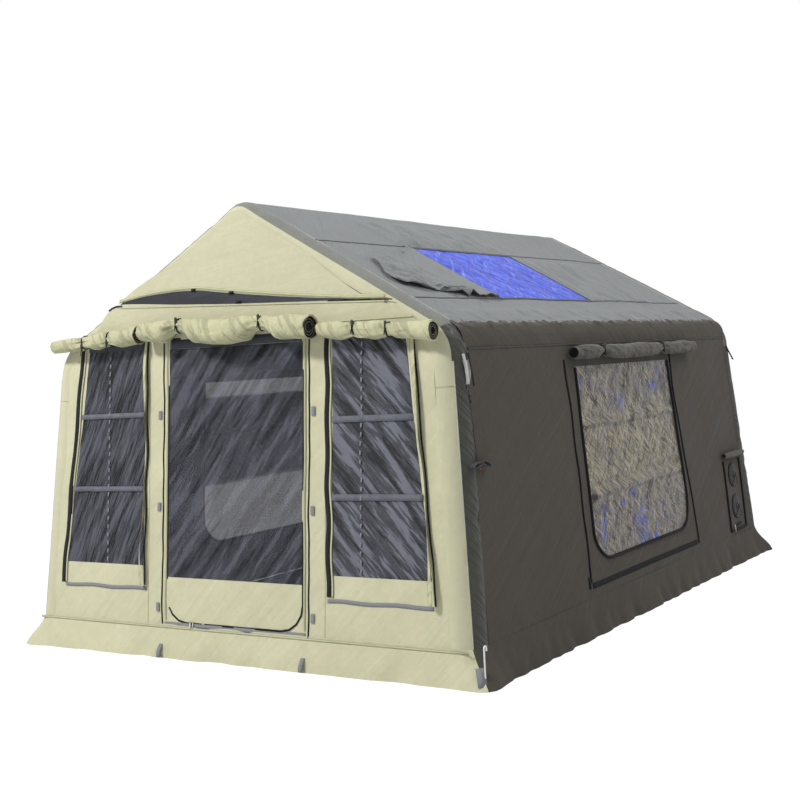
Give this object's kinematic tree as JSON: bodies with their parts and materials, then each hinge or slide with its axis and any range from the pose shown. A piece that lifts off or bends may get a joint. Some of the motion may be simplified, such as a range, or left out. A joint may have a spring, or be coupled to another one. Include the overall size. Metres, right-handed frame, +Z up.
{
  "type": "inflatable tent",
  "caption": "House-shaped inflatable family tent with air arches, mesh door and windows, rolled covers, clear side windows and a skylight.",
  "frame": {"origin": "centre of the footprint, on the ground", "axes": "+Z up, -Y out through the door, +X to the right as seen from in front of the door"},
  "size_m": [3.0003, 4.3003, 2.3803],
  "materials": {
    "khaki_fabric": "sand green coated polyester, matte",
    "grey_fabric": "mid grey coated polyester, matte",
    "olive_fabric": "dark olive brown coated polyester, matte",
    "insect_mesh": "dark grey insect netting",
    "clear_film": "clear soft vinyl film, glossy",
    "blue_film": "blue translucent soft vinyl film, glossy",
    "air_bladder": "grey coated bladder skin",
    "ground_fabric": "dark coated floor fabric",
    "black_trim": "black moulded plastic and webbing",
    "grey_webbing": "grey woven webbing",
    "white_metal": "white coated steel",
    "red_plastic": "red moulded plastic",
    "guy_cord": "dark braided guy cord"
  },
  "bodies": {
    "tent": {"door_surround": "khaki_fabric", "door_zip_track": "black_trim", "front_arch_bladder": "air_bladder", "front_arch_sleeve": "khaki_fabric", "front_header_panel": "khaki_fabric", "front_left_guy_strap": "black_trim", "front_left_panel": "khaki_fabric", "front_left_window_mesh": "insect_mesh", "front_right_guy_tab": "khaki_fabric", "front_right_panel": "khaki_fabric", "front_right_window_mesh": "insect_mesh", "front_skirt": "khaki_fabric", "gable_panel": "khaki_fabric", "gable_vent_mesh": "insect_mesh", "ground_sheet": "ground_fabric", "guy_buckle": "black_trim", "guy_hook": "red_plastic", "guy_rope": "guy_cord", "guy_rope_hank": "guy_cord", "left_eave_air_tube": "air_bladder", "left_roof_panel": "grey_fabric", "left_skirt": "olive_fabric", "left_wall_panel": "olive_fabric", "lower_duct_port": "black_trim", "peg_loop": "grey_webbing", "port_panel": "black_trim", "rear_arch_bladder": "air_bladder", "rear_arch_sleeve": "khaki_fabric", "rear_left_guy_strap": "black_trim", "rear_right_guy_strap": "black_trim", "rear_skirt": "olive_fabric", "rear_wall_panel": "khaki_fabric", "rear_window_mesh": "insect_mesh", "ridge_air_tube": "air_bladder", "ridge_roof_panel": "grey_fabric", "right_eave_air_tube": "air_bladder", "right_roof_panel": "grey_fabric", "right_skirt": "olive_fabric", "right_wall_panel": "olive_fabric", "skylight_film": "blue_film", "upper_duct_port": "black_trim", "valve_body": "black_trim"},
    "door": {"door_mesh": "insect_mesh", "door_kick_panel": "khaki_fabric"},
    "zip_slider": {"door_zip_slider": "white_metal"},
    "right_film": {"right_window_film": "clear_film"},
    "left_film": {"left_window_film": "clear_film"},
    "door_roll": {"door_cover_roll": "khaki_fabric", "door_roll_left_tie": "black_trim", "door_roll_right_tie": "black_trim"},
    "front_right_roll": {"front_right_cover_roll": "khaki_fabric"},
    "front_left_roll": {"front_left_cover_roll": "khaki_fabric"},
    "right_wall_roll": {"right_wall_cover_roll": "grey_fabric"},
    "left_wall_roll": {"left_wall_cover_roll": "grey_fabric"},
    "port_roll": {"port_cover_roll": "olive_fabric"},
    "flap": {"skylight_flap": "grey_fabric"},
    "peg": {"ground_peg": "white_metal"},
    "cap": {"valve_cap": "black_trim"},
    "stem": {"valve_stem": "grey_webbing"}
  },
  "joints": [
    {"name": "door_hinge", "type": "hinge", "parent": "tent", "child": "door", "pos_m": [0, -1.97261, 1.63], "axis": [-1, 0, 0], "range_deg": [0, 80]},
    {"name": "door_zip_slide", "type": "slide", "parent": "tent", "child": "zip_slider", "axis": [1, 0, 0], "range_m": [0, 0.55]},
    {"name": "right_film_hinge", "type": "hinge", "parent": "tent", "child": "right_film", "pos_m": [1.32732, 0, 1.425], "axis": [0, -1, 0], "range_deg": [0, 75]},
    {"name": "left_film_hinge", "type": "hinge", "parent": "tent", "child": "left_film", "pos_m": [-1.32732, 0, 1.425], "axis": [0, 1, 0], "range_deg": [0, 75]},
    {"name": "door_roll_hinge", "type": "hinge", "parent": "tent", "child": "door_roll", "pos_m": [0, -1.96301, 1.785], "axis": [-1, 0, 0], "range_deg": [0, 45]},
    {"name": "front_right_roll_hinge", "type": "hinge", "parent": "tent", "child": "front_right_roll", "pos_m": [0.91, -1.96596, 1.755], "axis": [-1, 0, 0], "range_deg": [0, 45]},
    {"name": "front_left_roll_hinge", "type": "hinge", "parent": "tent", "child": "front_left_roll", "pos_m": [-0.95, -1.96596, 1.755], "axis": [-1, 0, 0], "range_deg": [0, 45]},
    {"name": "right_wall_roll_hinge", "type": "hinge", "parent": "tent", "child": "right_wall_roll", "pos_m": [1.31817, 0.17, 1.545], "axis": [0, -1, 0], "range_deg": [0, 45]},
    {"name": "left_wall_roll_hinge", "type": "hinge", "parent": "tent", "child": "left_wall_roll", "pos_m": [-1.31817, 0.17, 1.545], "axis": [0, 1, 0], "range_deg": [0, 45]},
    {"name": "port_roll_hinge", "type": "hinge", "parent": "tent", "child": "port_roll", "pos_m": [1.38065, 1.7, 0.752], "axis": [0, -1, 0], "range_deg": [0, 45]},
    {"name": "skylight_flap_hinge", "type": "hinge", "parent": "tent", "child": "flap", "pos_m": [0.725, -0.912, 1.99153], "axis": [-0.8669, 0, 0.4985], "range_deg": [0, 150]},
    {"name": "peg_pull", "type": "slide", "parent": "tent", "child": "peg", "axis": [0, 0, 1], "range_m": [0, 0.2]},
    {"name": "valve_cap_pull", "type": "slide", "parent": "tent", "child": "cap", "axis": [0, -0.9952, -0.0977], "range_m": [0, 0.03]},
    {"name": "valve_stem_press", "type": "slide", "parent": "tent", "child": "stem", "axis": [0, 0.9952, 0.0977], "range_m": [0, 0.005], "stiffness_N_per_m": 200}
  ]
}
